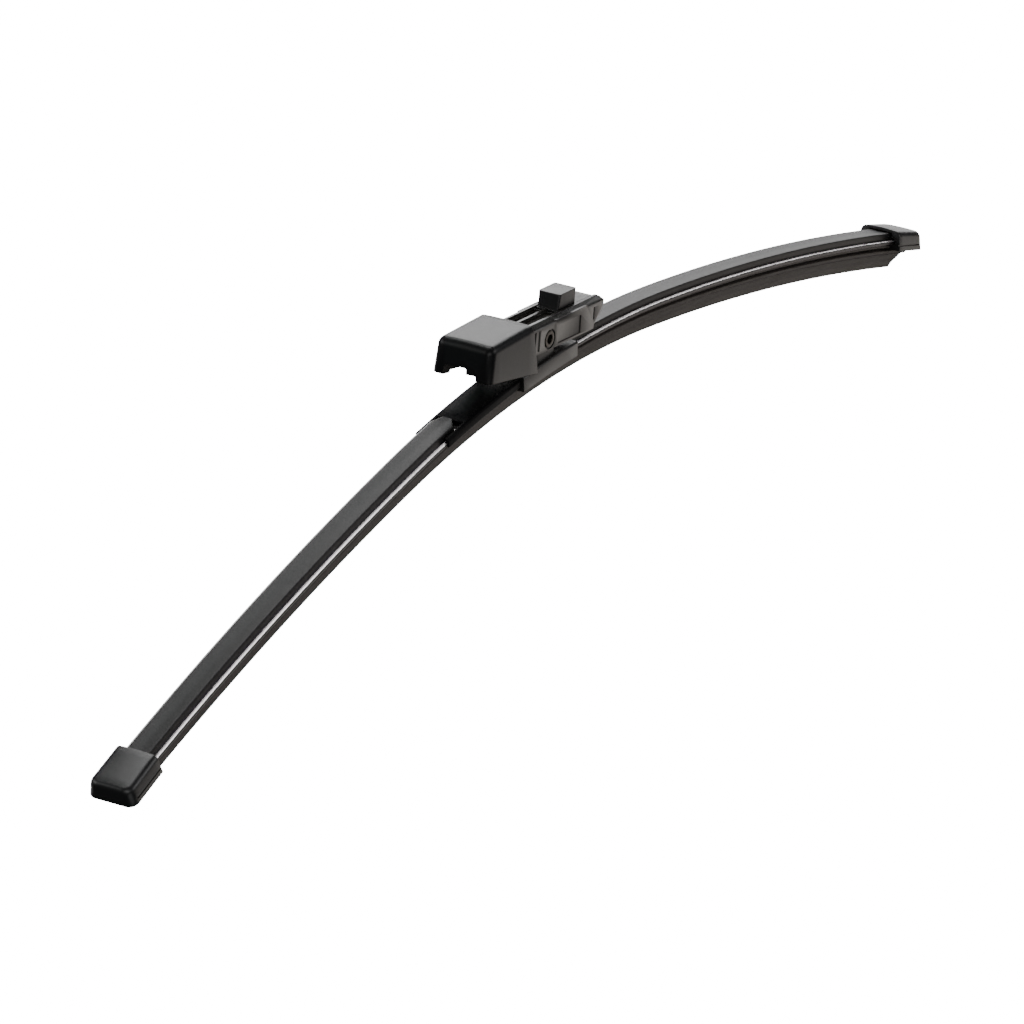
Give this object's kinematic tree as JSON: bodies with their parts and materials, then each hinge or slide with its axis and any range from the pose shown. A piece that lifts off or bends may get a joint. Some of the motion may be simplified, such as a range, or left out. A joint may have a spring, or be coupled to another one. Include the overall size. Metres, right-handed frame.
{
  "type": "wiper blade",
  "caption": "Flat beam wiper blade with a low black spoiler, end caps and a tilting plug adapter that has a square release button.",
  "frame": {"origin": "centre of the adapter's pivot pin, midway across the blade", "axes": "+X along the blade towards the plug end, +Y across the blade, +Z away from the glass"},
  "size_m": [0.3902, 0.0172, 0.0614],
  "materials": {
    "adapter_plastic": "satin",
    "hood_plastic": "satin",
    "button_plastic": "satin",
    "pin_metal": "satin",
    "carrier_plastic": "satin",
    "cover_plastic": "satin",
    "rail_steel": "gloss",
    "rubber": "matte",
    "spoiler_plastic": "satin",
    "cap_plastic": "satin",
    "clip_metal": "satin"
  },
  "bodies": {
    "adapter": {"adapter_body": "adapter_plastic", "hood": "hood_plastic"},
    "blade": {"pivot_pin": "pin_metal", "carrier": "carrier_plastic", "beam_cover": "cover_plastic", "spring_rail_left": "rail_steel", "spring_rail_right": "rail_steel", "wiper_rubber": "rubber", "spoiler_near": "spoiler_plastic", "spoiler_far": "spoiler_plastic", "end_cap_near": "cap_plastic", "end_cap_far": "cap_plastic", "end_clip_near": "clip_metal", "end_clip_far": "clip_metal"},
    "tongue": {"release_tongue": "button_plastic"}
  },
  "joints": [
    {"name": "adapter_pivot", "type": "hinge", "parent": "adapter", "child": "blade", "pos_m": [0, 0, 0], "axis": [0, 1, 0], "range_deg": [-3, 14]},
    {"name": "button_press", "type": "hinge", "parent": "adapter", "child": "tongue", "pos_m": [0.02394, 0, 0.0016], "axis": [0, -1, 0], "range_deg": [0, 8], "stiffness_Nm_per_rad": 1}
  ]
}
